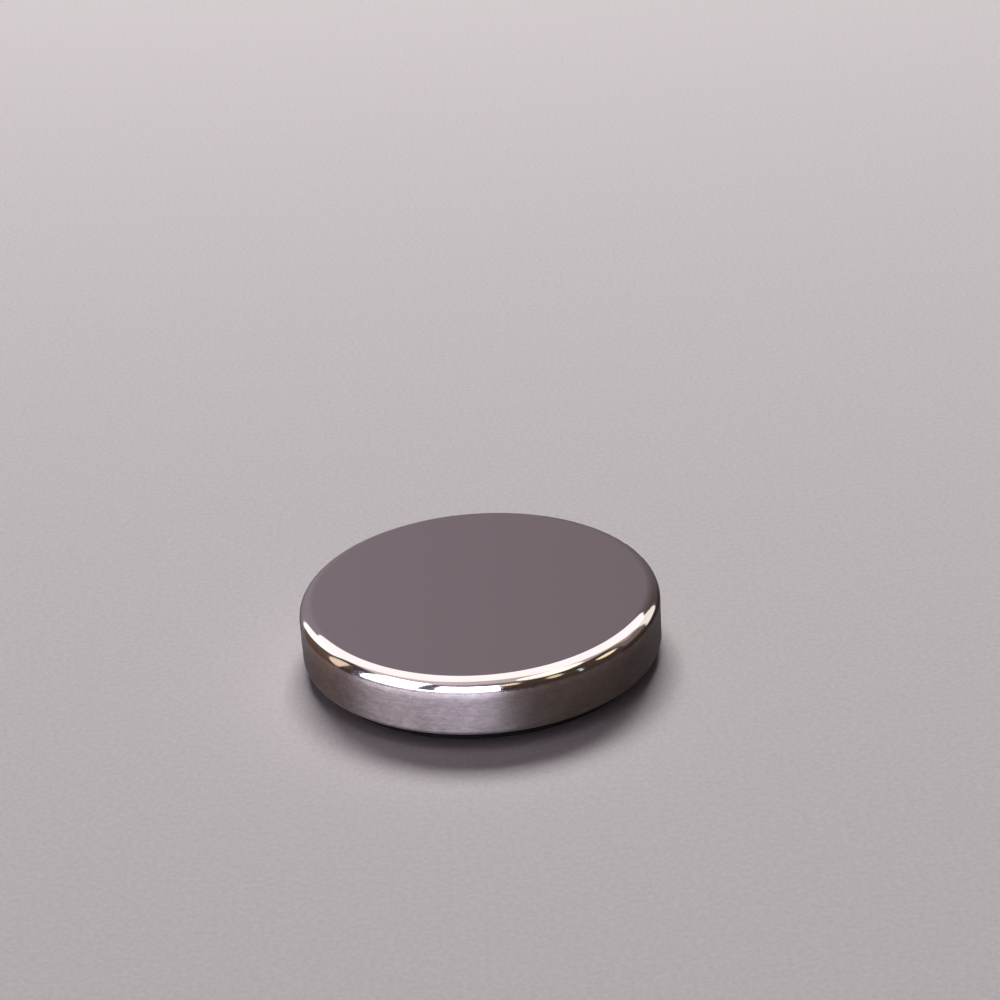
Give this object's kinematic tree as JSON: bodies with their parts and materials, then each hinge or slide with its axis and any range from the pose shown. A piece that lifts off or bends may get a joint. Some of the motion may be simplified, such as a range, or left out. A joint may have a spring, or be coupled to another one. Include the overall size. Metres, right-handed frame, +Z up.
{
  "type": "dealer button",
  "caption": "Round polished metal dealer button with a rounded shoulder, satin side wall and black rubber base pad, moved round a card table to mark the dealer.",
  "frame": {"origin": "centre of the pad's underside, on the surface that the button rests on", "axes": "+Z up along the disc's axis, towards the polished top face; X and Y lie in the table's plane and are interchangeable"},
  "size_m": [0.0508, 0.0508, 0.01],
  "materials": {
    "polished_steel": "polished",
    "epoxy": "gloss",
    "mild_steel": "satin",
    "plate_steel": "satin",
    "adhesive_film": "matte",
    "black_rubber": "matte"
  },
  "bodies": {
    "root": {"metal_cap": "polished_steel", "ballast_bond": "epoxy", "ballast_disc": "mild_steel", "base_plate": "plate_steel", "pad_film": "adhesive_film", "base_pad": "black_rubber"}
  },
  "joints": []
}
